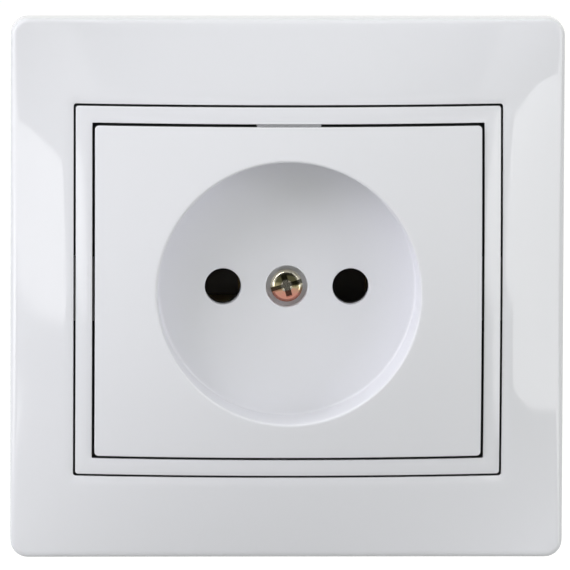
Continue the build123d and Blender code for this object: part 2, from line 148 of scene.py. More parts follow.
class WellSizes(bpy.types.PropertyGroup):
    """Sizes of the plug well and of the holes in its floor."""

    well_radius: length("Well radius", 0.0193, "Radius of the well at its floor")
    well_draft: angle("Well draft", radians(1.2), "Slope of the well's wall")
    well_floor: length("Well floor", 0.0018, "Height of the well's floor, which is also its thickness")
    rim_round: length("Rim round", 0.0005, "Size of the round along the rim of the well")
    floor_round: length("Floor round", 0.0005, "Size of the hollow round between the well's wall and floor")
    cup_wall: length("Cup wall", 0.0017, "Thickness of the well's wall")
    pin_pitch: length("Pin pitch", 0.019, "Distance between the two pin holes")
    pin_hole: length("Pin hole", 0.0054, "Diameter of a pin hole")
    hole_round: length("Hole round", 0.00018, "Size of the round along the edges of the holes")
    recess: length("Screw recess", 0.0062, "Diameter of the recess for the cover screw")
    recess_depth: length("Recess depth", 0.0024, "Depth of that recess below the floor")


class Finishes(bpy.types.PropertyGroup):
    """Colours of the mouldings and metals."""

    frame_white: colour("Frame", "frame_white", "Polished white of the outer frame")
    trim_white: colour("Trim ring", "trim_white", "Polished white of the trim ring")
    cover_white: colour("Cover", "cover_white", "Fine satin white of the centre cover")
    yellow_zinc: colour("Yellow zinc", "yellow_zinc", "Plating of the cover screw, nut and claw screws")
    plate_steel: colour("Plate", "plate_steel", "Bright zinc of the support plate")
    claw_steel: colour("Claws", "claw_steel", "Zinc of the claws")
    clamp_steel: colour("Clamps", "clamp_steel", "Zinc of the wire clamps")
    screw_steel: colour("Small screws", "screw_steel", "Zinc of the small screws and the claw pins")
    contact_brass: colour("Contacts", "contact_brass", "Rolled brass of the contacts")
    rivet_metal: colour("Rivets", "rivet_metal", "Drawn metal of the rivets")
    base_moulding: colour("Base", "base_moulding", "Dark moulding of the base")
    cap_moulding: colour("Cap", "cap_moulding", "Dark moulding of the contact cap")


class StageSettings(bpy.types.PropertyGroup):
    """Camera and light."""

    azimuth: angle("Azimuth", radians(-2.0), "Camera's angle round the socket, from the left where negative")
    elevation: angle("Elevation", radians(6.6), "Camera's angle above the level of the socket")
    roll: angle("Roll", radians(0.22), "Turn of the camera about its own line of sight")
    distance: length("Distance", 1.9, "Camera's distance from the wall plane's middle")
    even_level: level("Even light", 0.52, "Strength of the light that comes from all sides alike")
    lamp_level: level("Lamps", 1.0, "Strength of the soft lamps as a share of their own powers")
    floor_drop: length("Floor drop", 0.09, "How far the floor lies below the middle of the socket")


# Sizes of the hidden sides
RETURN_WALL = 0.0016
LEDGE_FOOT = 0.0012
LEDGE_TOP = 0.0026
LEDGE_REACH = 0.0022
FLANGE_TOP = 0.0038
FLANGE_REACH = 0.0015
RELIEF_WIDTH = 0.0095
FRAME_RIB_PITCH = 0.022
RIB_WALL = 0.0012
RIB_BITE = 0.0005
COVER_WALL = 0.002
COVER_SKIRT = 0.0015
COVER_RIB_HEIGHT = 0.009
COVER_RIB_REACH = 0.0205
PAD_WIDTH = 0.0095
PAD_PLAY = 0.00005
PAD_DROP = 0.0006
LOW_PAD_HEIGHT = 0.0012
LOW_PAD_TOP = FLANGE_TOP + LOW_PAD_HEIGHT
BOSS_RADIUS = 0.0042
BOSS_DEPTH = 0.003
SCREW_HOLE = 0.0017

# How far inside its side or opening a moulding's even stations end, in shares of its widest inset
FRAME_MARGIN = 1.3
TRIM_MARGIN = 1.2
COVER_MARGIN = 1.5


def half_sides(node):
    """Half the width and half the height of a CAD node."""
    low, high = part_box(node)
    return np.array([high.x - low.x, high.z - low.z]) / 2


def turned_box(node):
    """The box of a node turned about an axis along Y, the axis's place on the front and the radius."""
    low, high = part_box(node)
    return low, high, np.array([low.x + high.x, low.z + high.z]) / 2, (high.x - low.x) / 2


def half_opening(sizes):
    """Half the width and half the height of the frame's opening."""
    return np.array([sizes.opening_width, sizes.opening_height]) / 2


def outline(half, corner, reach):
    """Points round a rectangle with rounded corners, clockwise from the middle of its top.

    Each quarter is the top side at even places up to the reach, a run on to the corner, an arc of a
    quarter turn, a run down and the right side. All outlines with one reach have their points in step,
    so that the lines between them cross straight from one to the next. The other three quarters are the
    first one mirrored.
    """
    half_width, half_height = half
    turn = np.linspace(pi / 2, 0, ARC_STATIONS)
    x = np.concatenate([
        np.linspace(0, reach[0], SIDE_STATIONS),
        np.linspace(reach[0], half_width - corner, RUN_STATIONS),
        half_width - corner + corner * np.cos(turn),
        np.full(RUN_STATIONS + SIDE_STATIONS, half_width),
    ])
    z = np.concatenate([
        np.full(SIDE_STATIONS + RUN_STATIONS, half_height),
        half_height - corner + corner * np.sin(turn),
        np.linspace(half_height - corner, reach[1], RUN_STATIONS),
        np.linspace(reach[1], 0, SIDE_STATIONS),
    ])
    return np.stack([
        np.concatenate([x, x[::-1], -x, -x[::-1]]),
        np.concatenate([z, -z[::-1], -z, z[::-1]]),
    ], axis=1)


def circle_in_step(loop, radius):
    """Points of a circle about the well's axis, at the angles of an outline's points."""
    bearing = np.arctan2(loop[:, 1], loop[:, 0])
    return radius * np.stack([np.cos(bearing), np.sin(bearing)], axis=1)


def dome_height(loop, sizes):
    """Height of the domed face: its rim plus a rise that is the product of two parabolas, one each way."""
    across, upward = (1 - (loop / half_sides("outer_frame")) ** 2).T
    return sizes.edge_height + sizes.face_rise * across * upward


def at_height(loop, height):
    """An outline's points at a height above the wall plane, the same all round or one for each point."""
    return np.stack([loop[:, 0], np.broadcast_to(-height, len(loop)), loop[:, 1]], axis=1)


def dome_row(loop, lift, sizes):
    """One row of the domed face, raised by lift."""
    return at_height(loop, dome_height(loop, sizes) + lift)


def face_rows(outer, inner, lift, sizes, count=FACE_ROWS):
    """Rows of the domed face between two outlines, each a straight mix of the two.

    They are raised by lift, a function of the way from the outer one to the inner one.
    """
    return [dome_row((1 - t) * outer + t * inner, lift(t), sizes) for t in np.linspace(0, 1, count)]


def rounded(first, corner, last):
    """Rows of a round between two rows: a parabola, tangent to the lines through the corner row."""
    return [
        (1 - t) ** 2 * first + 2 * t * (1 - t) * corner + t ** 2 * last
        for t in np.linspace(0, 1, ROUND_ROWS)
    ]


def dome_round(sizes, *places):
    """Rows of a round on the domed face, through three outlines, each with its lift."""
    return rounded(*(dome_row(loop, lift, sizes) for loop, lift in places))


def grid_faces(rows, columns, ring):
    """Corner numbers of the faces of a grid that is closed along its columns.

    A ring is closed along its rows too.
    """
    row = np.arange(rows if ring else rows - 1)[:, None] * columns
    column = np.arange(columns)[None, :]
    after = (column + 1) % columns
    below = (row + columns) % (rows * columns)
    corners = [row + column, row + after, below + after, below + column]
    return np.stack(np.broadcast_arrays(*corners), axis=-1).reshape(-1, 4)


def new_piece(name, points, faces, finishes=None):
    """A mesh object from points and faces, with doubled points welded and its faces turned outwards.

    The finishes are numbers of material slots, one for each face.
    """
    mesh = bpy.data.meshes.new(name)
    mesh.from_pydata(points.reshape(-1, 3), [], faces)
    if finishes is not None:
        mesh.polygons.foreach_set("material_index", finishes)
    shape = bmesh.new()
    shape.from_mesh(mesh)
    bmesh.ops.remove_doubles(shape, verts=shape.verts, dist=WELD)
    bmesh.ops.dissolve_degenerate(shape, dist=SLIVER, edges=shape.edges)
    bmesh.ops.recalc_face_normals(shape, faces=shape.faces)
    shape.to_mesh(mesh)
    shape.free()
    return linked(name, mesh)


def linked(name, data):
    """A new object in the scene with its data."""
    item = bpy.data.objects.new(name, data)
    bpy.context.scene.collection.objects.link(item)
    return item


def lofted(name, rows, ring=True, gap_rows=()):
    """A piece whose surface runs through a list of rows, back to the first one where it is a ring.

    The faces that follow the gap rows get the second finish, which in the mouldings is a painted shade, and
    all others the first.
    """
    points = np.stack(rows)
    faces = grid_faces(len(rows), points.shape[1], ring)
    in_gap = np.isin(np.arange(len(faces)) // points.shape[1], gap_rows)
    return new_piece(name, points, faces, in_gap.astype(np.int32))


def flat(height):
    """A function that gives one height everywhere."""
    return lambda place: height


def bar(start, end, width, foot, top):
    """Arrays of a straight bar between two places on the front, from the foot up to a curved top.

    Its section is a rectangle, carried along the line from start to end. The top is a function of place.
    """
    start, end = np.asarray(start), np.asarray(end)
    along = np.linspace(0, 1, SIDE_STATIONS)[:, None]
    line = start * (1 - along) + end * along
    heading = (end - start) / np.linalg.norm(end - start)
    aside = np.array([-heading[1], heading[0]]) * width / 2
    left, right = line + aside, line - aside
    points = np.stack([
        at_height(left, foot),
        at_height(left, top(left)),
        at_height(right, top(right)),
        at_height(right, foot),
    ], axis=1).reshape(-1, 3)
    caps = np.stack([np.arange(4), len(points) - 1 - np.arange(4)])
    return points, np.concatenate([grid_faces(len(line), 4, False), caps])


def bars(name, made):
    """One piece of several bars."""
    starts = np.cumsum([0] + [len(points) for points, faces in made])
    points = np.concatenate([points for points, faces in made])
    faces = np.concatenate([faces + start for (_, faces), start in zip(made, starts)])
    return new_piece(name, points, faces)


def relief_bars(half, foot):
    """Two crossing bars that cut the room for screw heads behind the trim ring."""
    arms = np.diag(half)
    return bars("screw_relief", [bar(-arm, arm, RELIEF_WIDTH, foot, flat(FLANGE_TOP)) for arm in arms])


def pad_lines(sign, half, out):
    """Ends of two lines from a bite inside an outline to outside it, one sideways and one upright."""
    return zip(np.diag(sign * (half - RIB_BITE)), np.diag(sign * (half + out)))


def settle(piece):
    """Turns the result of a piece's modifiers into its own mesh."""
    result = bpy.data.meshes.new_from_object(piece.evaluated_get(bpy.context.evaluated_depsgraph_get()))
    piece.modifiers.clear()
    piece.data = result


def combine(piece, other, operation, crossing=True):
    """Joins another piece to a piece, or cuts it away, and removes the other one.

    Where pieces are joined, crossing says that the other one's parts may cross each other.
    """
    change = piece.modifiers.new(operation, "BOOLEAN")
    change.operation = operation
    change.solver = "EXACT"
    change.use_self = crossing and operation == "UNION"
    change.object = other
    settle(piece)
    bpy.data.objects.remove(other)


def finish_piece(piece, node, *materials):
    """Smooths a piece up to its sharp edges, gives it its finishes, hangs it on its node's body and hides the
    node.
    """
    mesh = piece.data
    mesh.shade_smooth()
    mesh.set_sharp_from_angle(angle=SMOOTH_ANGLE)
    finishes = np.zeros(len(mesh.polygons), dtype=np.int32)
    if len(materials) > 1:
        mesh.polygons.foreach_get("material_index", finishes)
    mesh.materials.clear()
    for material in materials:
        mesh.materials.append(material)
    mesh.polygons.foreach_set("material_index", finishes)
    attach(piece, BODY_OF[node])
    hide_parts(node)


# Surfaces of the mouldings: roughness, share of handling marks, grains in a metre and strength of the grain
POLISHED = (0.05, 0.04, 900.0, 0.01)
BRIGHT = (0.1, 0.05, 2500.0, 0.02)
SATIN = (0.42, 0.05, 5000.0, 0.09)
# Surface of the walls deep in the gaps, which carry a painted shade
PAINTED_GAP_SURFACE = (0.6, 0.1, 3500.0, 0.1)
BASE_DULL = (0.45, 0.1, 2600.0, 0.2)
CAP_DULL = (0.4, 0.1, 2600.0, 0.2)
GRAIN_DEPTH = 0.00002
GRAIN_DETAIL = 2.0
TONE_SWING = 0.012
CLOUD_SIZE = 38.0
CLOUD_DETAIL = 5.0
SMEAR_SIZE = 150.0
SMEAR_DETAIL = 6.0
SMEAR_DISTORTION = 1.4
SMEAR_SPAN = (0.45, 0.75)
# Painted shade: the share of the moulding's colour left on the walls deep in the gaps
PAINTED_GAP_TONE = 0.12

# Surfaces of the metals: roughness, its swing and patches in a metre
GOLDEN = (0.2, 0.12, 700.0)
FILMED = (0.08, 0.06, 900.0)
BRIGHT_SWING = 0.18
BRIGHT_PATCH = 260.0
SCREW_GLOSS = 0.22
RIVET_GLOSS = 0.3
PLATE_GLOSS = 0.26
CLAW_GLOSS = 0.3
CLAMP_GLOSS = 0.28
BRASS_GLOSS = 0.24
PATCH_DETAIL = 4.0
PATCH_SPAN = (0.32, 0.68)
DARK_PATCH = 0.85
PALE_PATCH = 1.1
DARK_GOLD = 0.8
ROSY_GOLD = (1.05, 0.88, 1.05)
LINE_SIZE = 900.0
LINE_DETAIL = 3.0
LINE_STRETCH = (1.0, 1.0, 14.0)
LINE_DEPTH = 0.00001
LINE_RELIEF = 0.08
FILM_RELIEF = 0.06

# The film on the cover screw: its tints, darker towards the top as a painted dark reflection, where it
# changes, and the pale zinc of a painted highlight along the upper rim and of wear with a painted highlight
# in the pit
ROSY_FILM = (0.52, 0.24, 0.18)
# Painted dark reflection: the olive of the upper side is made far darker than the film itself
OLIVE_FILM_PAINTED_DARK = (0.075, 0.07, 0.036)
MIDDLE_FILM = 0.5
FILM_SPAN = (0.3, 1.1)
FILM_DRIFT = 0.5
# Painted highlight: pale zinc along the upper rim, and in the pit partly wear and partly a painted highlight
PALE_ZINC_GLINT_AND_WEAR = (0.78, 0.74, 0.6)
GLINT_RIM = (0.72, 0.86)
GLINT_RISE = (0.42, 0.56)
WEAR_AND_GLINT_PIT = (0.00092, 0.0007)


def feed(tree, node, inputs):
    """Sets a node's inputs, by name or number, to plain values or to sockets that are linked to them."""
    for target, value in inputs.items():
        if isinstance(value, bpy.types.NodeSocket):
            tree.links.new(value, node.inputs[target])
        else:
            node.inputs[target].default_value = value


def add_node(tree, kind, inputs=None, **settings):
    """A node with its settings and inputs."""
    node = tree.nodes.new(kind)
    for key, value in settings.items():
        setattr(node, key, value)
    feed(tree, node, inputs or {})
    return node


def add_math(tree, operation, *values):
    """The result of an operation on values and sockets."""
    return add_node(tree, "ShaderNodeMath", dict(enumerate(values)), operation=operation).outputs[0]


def add_noise(tree, place, scale, detail, distortion=0.0):
    """A noise that changes with the place."""
    inputs = {"Vector": place, "Scale": scale, "Detail": detail, "Distortion": distortion}
    return add_node(tree, "ShaderNodeTexNoise", inputs).outputs["Fac"]


def ranged(tree, value, low, high):
    """A value's place between a low and a high one, from none to one."""
    inputs = {"Value": value, "From Min": low, "From Max": high}
    return add_node(tree, "ShaderNodeMapRange", inputs).outputs["Result"]


def object_place(tree):
    """The place on the piece itself."""
    return add_node(tree, "ShaderNodeTexCoord").outputs["Object"]


def new_group(name, inputs, outputs):
    """An empty node group with sockets of these names."""
    group = bpy.data.node_groups.new(name, "ShaderNodeTree")
    for way, labels in (("INPUT", inputs), ("OUTPUT", outputs)):
        for label in labels:
            group.interface.new_socket(label, in_out=way, socket_type="NodeSocketFloat")
    group.nodes.new("NodeGroupInput")
    group.nodes.new("NodeGroupOutput")
    return group


def moulding_group():
    """Group for moulded plastic: a fine grain, a slow drift of its tone and faint marks of handling."""
    group = bpy.data.node_groups.get("moulded_surface")
    if group:
        return group
    inputs = ("Gloss", "Marks", "Grain Size", "Tone Swing")
    group = new_group("moulded_surface", inputs, ("Height", "Roughness", "Tone"))
    given = group.nodes["Group Input"].outputs
    place = object_place(group)
    cloud = add_noise(group, place, CLOUD_SIZE, CLOUD_DETAIL)
    smear = add_noise(group, place, SMEAR_SIZE, SMEAR_DETAIL, SMEAR_DISTORTION)
    marks = ranged(group, smear, *SMEAR_SPAN)
    centred = add_math(group, "SUBTRACT", cloud, 0.5)
    feed(group, group.nodes["Group Output"], {
        "Height": add_noise(group, place, given["Grain Size"], GRAIN_DETAIL),
        "Roughness": add_math(group, "MULTIPLY_ADD", marks, given["Marks"], given["Gloss"]),
        "Tone": add_math(group, "MULTIPLY_ADD", centred, given["Tone Swing"], 1.0),
    })
    return group


def plating_group():
    """Group for plated and rolled metal: drifting patches and fine drawn lines."""
    group = bpy.data.node_groups.get("plated_surface")
    if group:
        return group
    inputs = ("Gloss", "Roughness Swing", "Patch Size")
    group = new_group("plated_surface", inputs, ("Patches", "Roughness", "Height"))
    given = group.nodes["Group Input"].outputs
    place = object_place(group)
    stretch = add_node(group, "ShaderNodeMapping", {"Vector": place, "Scale": LINE_STRETCH})
    lines = add_noise(group, stretch.outputs["Vector"], LINE_SIZE, LINE_DETAIL)
    feed(group, group.nodes["Group Output"], {
        "Patches": add_noise(group, place, given["Patch Size"], PATCH_DETAIL),
        "Roughness": add_math(group, "MULTIPLY_ADD", lines, given["Roughness Swing"], given["Gloss"]),
        "Height": lines,
    })
    return group


def place_group(tree, group, values):
    """The outputs of a node group placed in a material, with values for its inputs in their order."""
    return add_node(tree, "ShaderNodeGroup", dict(enumerate(values)), node_tree=group).outputs


def new_material(name):
    """A material with its own nodes, and its shader."""
    material = bpy.data.materials.new(name)
    material.use_nodes = True
    return material, material.node_tree, material.node_tree.nodes["Principled BSDF"]


def add_bump(tree, height, strength, depth):
    """The normal of a surface with a fine height."""
    inputs = {"Height": height, "Strength": strength, "Distance": depth}
    return add_node(tree, "ShaderNodeBump", inputs).outputs["Normal"]


def shaded(tint, factor):
    """A colour made lighter or darker."""
    return tuple(min(1.0, part * factor) for part in tint)


def moulding(name, tint, kind):
    """Moulded plastic of one colour, with a fine grain and handling marks that change its gloss."""
    gloss, marks, grain_size, grain = kind
    material, tree, shader = new_material(name)
    surface = place_group(tree, moulding_group(), (gloss, marks, grain_size, TONE_SWING))
    inputs = {0: tint, "Scale": surface["Tone"]}
    feed(tree, shader, {
        "Base Color": add_node(tree, "ShaderNodeVectorMath", inputs, operation="SCALE").outputs[0],
        "Roughness": surface["Roughness"],
        "Normal": add_bump(tree, surface["Height"], grain, GRAIN_DEPTH),
    })
    return material


def painted_gap_shade(name, tint):
    """The same plastic deep in a narrow gap, darkened as a painted shade."""
    return moulding(name, shaded(tint, PAINTED_GAP_TONE), PAINTED_GAP_SURFACE)


def tint_ramp(tree, value, tints, span):
    """Colours that run through the tints as a value goes through a span."""
    ramp = add_node(tree, "ShaderNodeValToRGB", {"Fac": ranged(tree, value, *span)})
    stops = ramp.color_ramp.elements
    for _ in range(len(tints) - len(stops)):
        stops.new(0.5)
    for stop, place, tint in zip(stops, np.linspace(0, 1, len(tints)), tints):
        stop.position = place
        stop.color = (*tint, 1.0)
    return ramp.outputs["Color"]


def feed_metal(tree, shader, tint, surface, relief):
    """Makes a shader a metal, with the gloss and the drawn lines of a plated surface."""
    feed(tree, shader, {
        "Base Color": tint,
        "Metallic": 1.0,
        "Roughness": surface["Roughness"],
        "Normal": add_bump(tree, surface["Height"], relief, LINE_DEPTH),
    })


def plating(name, tints, kind):
    """Plated or rolled metal whose patches run through a few tints."""
    material, tree, shader = new_material(name)
    surface = place_group(tree, plating_group(), kind)
    feed_metal(tree, shader, tint_ramp(tree, surface["Patches"], tints, PATCH_SPAN), surface, LINE_RELIEF)
    return material


def golden_zinc(name, tint):
    """Yellow zinc, from its darker to its paler patches with a rosy tint between."""
    rosy = tuple(part * share for part, share in zip(tint, ROSY_GOLD))
    return plating(name, [shaded(tint, DARK_GOLD), tint, rosy, shaded(tint, PALE_PATCH)], GOLDEN)


def bright_zinc(name, tint, gloss):
    """Plating of one tint that drifts a little lighter and darker."""
    tints = [shaded(tint, DARK_PATCH), tint, shaded(tint, PALE_PATCH)]
    return plating(name, tints, (gloss, BRIGHT_SWING, BRIGHT_PATCH))


def rainbow_zinc(name, tint, node):
    """Yellow zinc on a screw head, with a film from rosy at its lower side to dark olive at its upper one.

    The film drifts in patches, and its darkening towards the top is a painted dark reflection. Pale zinc is
    painted along the upper part of the rim as a painted highlight, and in the pit as wear with a painted
    highlight.
    """
    low, high, centre, radius = turned_box(node)
    material, tree, shader = new_material(name)
    surface = place_group(tree, plating_group(), FILMED)
    place = object_place(tree)
    upward = add_node(tree, "ShaderNodeSeparateXYZ", {0: place}).outputs["Z"]
    rise = ranged(tree, upward, low.z, high.z)
    drift = add_math(tree, "MULTIPLY_ADD", surface["Patches"], FILM_DRIFT, rise)
    # Painted dark reflection: the tints run with height from rosy below to a dark olive above
    tints = [ROSY_FILM, ROSY_FILM, shaded(tint, MIDDLE_FILM), OLIVE_FILM_PAINTED_DARK, OLIVE_FILM_PAINTED_DARK]
    film = tint_ramp(tree, drift, tints, FILM_SPAN)
    front = add_node(tree, "ShaderNodeVectorMath", {0: place, 1: (1.0, 0.0, 1.0)}, operation="MULTIPLY")
    ends = {0: front.outputs["Vector"], 1: (centre[0], 0.0, centre[1])}
    out = add_node(tree, "ShaderNodeVectorMath", ends, operation="DISTANCE").outputs["Value"]
    # Pale zinc over the film: a painted highlight on the upper rim, and wear with a painted highlight in the
    # pit
    rim = ranged(tree, out, *(share * radius for share in GLINT_RIM))
    rim_glint = add_math(tree, "MULTIPLY", rim, ranged(tree, rise, *GLINT_RISE))
    glint_and_wear = add_math(tree, "MAXIMUM", rim_glint, ranged(tree, out, *WEAR_AND_GLINT_PIT))
    mix = {"Factor": glint_and_wear, "A": film, "B": (*PALE_ZINC_GLINT_AND_WEAR, 1.0)}
    film_with_glints = add_node(tree, "ShaderNodeMix", mix, data_type="RGBA").outputs["Result"]
    feed_metal(tree, shader, film_with_glints, surface, FILM_RELIEF)
    return material


class SOCKET_OT_outer_frame(bpy.types.Operator):
    """Build the polished outer frame: a domed shell with a rounded edge, a return wall, a ledge and ribs"""

    bl_idname = "socket.outer_frame"
    bl_label = "Outer Frame"

    def execute(self, context):
        sizes = context.scene.socket_face
        half, opening = half_sides("outer_frame"), half_opening(sizes)
        reach = opening - FRAME_MARGIN * LEDGE_REACH
        wall, edge, lip = sizes.frame_wall, sizes.frame_round, sizes.lip_round
        corner, drop = sizes.opening_corner, -sizes.ease_drop

        def outer(inset):
            return outline(half - inset, max(sizes.frame_corner - inset, lip), reach)

        def hole(outset, corner):
            return outline(opening + outset, corner, reach)

        mouth = hole(0, corner)
        brink = hole(lip, corner + lip)
        ease = hole(sizes.ease_width, corner + sizes.ease_width)
        ledge = hole(-LEDGE_REACH, lip)
        inner_wall = hole(RETURN_WALL, lip)
        shell = outline(half - wall, sizes.frame_corner / 2, reach)
        rows = [at_height(outer(0), 0)]
        rows += dome_round(sizes, (outer(0), -edge), (outer(0), 0), (outer(edge), 0))
        rows += face_rows(outer(edge), ease, flat(0), sizes)
        rows += face_rows(ease, brink, lambda t: drop * t ** 2, sizes, EASE_ROWS)
        rows += dome_round(sizes, (brink, drop), (mouth, drop), (mouth, drop - lip))
        # Painted shade: the opening's wall and the ledge's face get the darkened second finish
        gap_rows = [len(rows) - 1, len(rows)]
        rows += [at_height(mouth, LEDGE_TOP), at_height(ledge, LEDGE_TOP)]
        rows += [at_height(ledge, LEDGE_FOOT), at_height(inner_wall, LEDGE_FOOT)]
        rows += face_rows(inner_wall, shell, flat(-wall), sizes)
        rows += [at_height(shell, 0)]
        piece = lofted("frame_shell", rows, gap_rows=gap_rows)

        def rib_top(loop):
            return dome_height(loop, sizes) - wall / 2

        near = opening + RETURN_WALL - RIB_BITE
        far = half - wall + RIB_BITE
        lines = []
        for sign in (-1, 1):
            for place in (-FRAME_RIB_PITCH, 0, FRAME_RIB_PITCH):
                lines.append(((place, sign * near[1]), (place, sign * far[1])))
                lines.append(((sign * near[0], place), (sign * far[0], place)))
            long_rib = sign * (half[1] + opening[1]) / 2
            lines.append(((-far[0], long_rib), (far[0], long_rib)))
        ribs = [bar(*line, RIB_WALL, LEDGE_TOP, rib_top) for line in lines]
        combine(piece, bars("frame_ribs", ribs), "UNION")
        combine(piece, relief_bars(near + RIB_BITE, LEDGE_FOOT), "DIFFERENCE")
        tint = context.scene.socket_finish.frame_white
        material = moulding("polished_white", tint, POLISHED)
        finish_piece(piece, "outer_frame", material, painted_gap_shade("frame_gap_shade", tint))
        return {"FINISHED"}


class SOCKET_OT_trim_ring(bpy.types.Operator):
    """Build the trim ring: a thin band flush with the frame, with a flange behind the edge of the cover"""

    bl_idname = "socket.trim_ring"
    bl_label = "Trim Ring"

    def execute(self, context):
        sizes = context.scene.socket_face
        half = half_opening(sizes) - sizes.trim_gap
        lip, width = sizes.lip_round, sizes.trim_band
        behind = width + FLANGE_REACH
        reach = half - TRIM_MARGIN * behind

        def band(inset, corner):
            return outline(half - inset, corner, reach)

        def bulge(t):
            return 4 * t * (1 - t) * sizes.trim_crown

        outside = band(0, sizes.opening_corner)
        outside_in = band(lip, sizes.opening_corner - lip)
        inside = band(width, lip)
        inside_out = band(width - lip, 2 * lip)
        flange = band(behind, lip)
        rows = [at_height(outside, LEDGE_TOP)]
        rows += dome_round(sizes, (outside, -lip), (outside, 0), (outside_in, 0))
        rows += face_rows(outside_in, inside_out, bulge, sizes)
        rows += dome_round(sizes, (inside_out, 0), (inside, 0), (inside, -lip))
        # Painted shade: the band's two walls and the flange's face get the darkened second finish
        gap_rows = [0, len(rows) - 1, len(rows)]
        rows += [at_height(inside, FLANGE_TOP), at_height(flange, FLANGE_TOP), at_height(flange, LEDGE_TOP)]
        piece = lofted("trim_band", rows, gap_rows=gap_rows)
        combine(piece, relief_bars(half + RIB_BITE, 0), "DIFFERENCE")
        lines = [line for sign in (-1, 1) for line in pad_lines(sign, half, sizes.trim_gap - PAD_PLAY)]
        pads = [bar(*line, RELIEF_WIDTH, FLANGE_TOP, flat(LOW_PAD_TOP)) for line in lines]
        combine(piece, bars("trim_pads", pads), "UNION")
        tint = context.scene.socket_finish.trim_white
        material = moulding("bright_white", tint, BRIGHT)
        finish_piece(piece, "trim_ring", material, painted_gap_shade("trim_gap_shade", tint))
        return {"FINISHED"}


class SOCKET_OT_centre_cover(bpy.types.Operator):
    """Build the centre cover: a domed plate on a skirt, with the plug well, pin holes and screw recess"""

    bl_idname = "socket.centre_cover"
    bl_label = "Centre Cover"

    def execute(self, context):
        sizes, well = context.scene.socket_face, context.scene.socket_well
        half = half_opening(sizes) - (sizes.trim_gap + sizes.trim_band + sizes.cover_gap)
        reach = half - COVER_MARGIN * COVER_SKIRT
        lift, lip, corner = sizes.cover_proud, sizes.lip_round, sizes.cover_corner
        outside = outline(half, corner, reach)
        inset = outline(half - lip, corner - lip, reach)
        skirt = outline(half - COVER_SKIRT, lip, reach)
        floor = well.well_floor
        slope = tan(well.well_draft)

        def circle(radius):
            return circle_in_step(outside, radius)

        def ring(radius, height):
            return at_height(circle(radius), height)

        def wall_radius(height):
            return well.well_radius + (height - floor) * slope

        rim_height = dome_height(circle(well.well_radius), sizes) + lift
        rim_radius = wall_radius(rim_height.mean())
        rim_out = circle(rim_radius + well.rim_round)
        rim_below = circle(rim_radius - well.rim_round * slope)
        foot = floor + well.floor_round
        cup = circle(well.well_radius + well.cup_wall)
        recess, hole_round = well.recess / 2, well.hole_round
        seat = floor - well.recess_depth
        rows = [at_height(outside, FLANGE_TOP)]
        rows += dome_round(sizes, (outside, lift - lip), (outside, lift), (inset, lift))
        rows += face_rows(inset, rim_out, flat(lift), sizes)
        rows += dome_round(
            sizes, (rim_out, lift), (circle(rim_radius), lift), (rim_below, lift - well.rim_round)
        )
        rows += rounded(
            ring(wall_radius(foot), foot),
            ring(well.well_radius, floor),
            ring(well.well_radius - well.floor_round, floor),
        )
        rows += rounded(
            ring(recess + hole_round, floor), ring(recess, floor), ring(recess, floor - hole_round)
        )
        rows += [
            ring(recess, seat),
            ring(SCREW_HOLE, seat),
            ring(SCREW_HOLE, -BOSS_DEPTH),
            ring(BOSS_RADIUS, -BOSS_DEPTH),
            ring(BOSS_RADIUS, 0),
            at_height(cup, 0),
        ]
        rows += face_rows(cup, skirt, flat(lift - COVER_WALL), sizes)
        rows += [at_height(skirt, FLANGE_TOP)]
        # Painted shade: the cover's outer side wall, down in the gap, gets the darkened second finish
        piece = lofted("cover_moulding", rows, gap_rows=[0])

        def rib_top(loop):
            return dome_height(loop, sizes) + lift - COVER_WALL / 2

        def pad_top(loop):
            return dome_height(loop, sizes) - PAD_DROP

        skirt_x, skirt_z = half - COVER_SKIRT + RIB_BITE
        cup_x = ((well.well_radius + well.cup_wall) ** 2 - COVER_RIB_HEIGHT ** 2) ** 0.5 - 2 * RIB_BITE
        ribs = []
        for sign in (-1, 1):
            tall = sign * COVER_RIB_REACH
            lines = [((tall, -skirt_z), (tall, skirt_z))]
            for height in (-COVER_RIB_HEIGHT, COVER_RIB_HEIGHT):
                lines.append(((sign * cup_x, height), (sign * skirt_x, height)))
            ribs += [bar(*line, RIB_WALL, FLANGE_TOP, rib_top) for line in lines]
            side, upright = pad_lines(sign, half, sizes.cover_gap - PAD_PLAY)
            ribs.append(bar(*side, PAD_WIDTH, FLANGE_TOP, flat(LOW_PAD_TOP)))
            top = pad_top if sign > 0 else flat(LOW_PAD_TOP)
            ribs.append(bar(*upright, PAD_WIDTH, FLANGE_TOP, top))
        combine(piece, bars("cover_ribs", ribs), "UNION")
        for sign in (-1, 1):
            combine(piece, pin_cutter(sign * well.pin_pitch / 2, well), "DIFFERENCE")
        tint = context.scene.socket_finish.cover_white
        material = moulding("fine_satin_white", tint, SATIN)
        finish_piece(piece, "socket_cover", material, painted_gap_shade("cover_gap_shade", tint))
        return {"FINISHED"}


# Threads: radius and lead, and the depth as a share of the lead
CLAW_THREAD = (0.0015, 0.0005)
TERMINAL_THREAD = (0.00175, 0.0005)
CAP_THREAD = (0.00125, 0.00045)
COVER_THREAD = (0.0015, 0.0005)
THREAD_DEPTH = 0.55

# Tops of heads: size of the edge's round, tilt of the top beside it, and the round's lean and drop
RIVET_TOP = (0.0002, radians(26), 0.0, 0.0002)
PAN_TOP = (0.0006, radians(12), 0.0003, 0.0003)
CHEESE_TOP = (0.0003, radians(4), 0.0, 0.0003)
PAN_HEIGHT = 0.0019
CHEESE_HEIGHT = 0.002
RIVET_SHANK = 0.0015

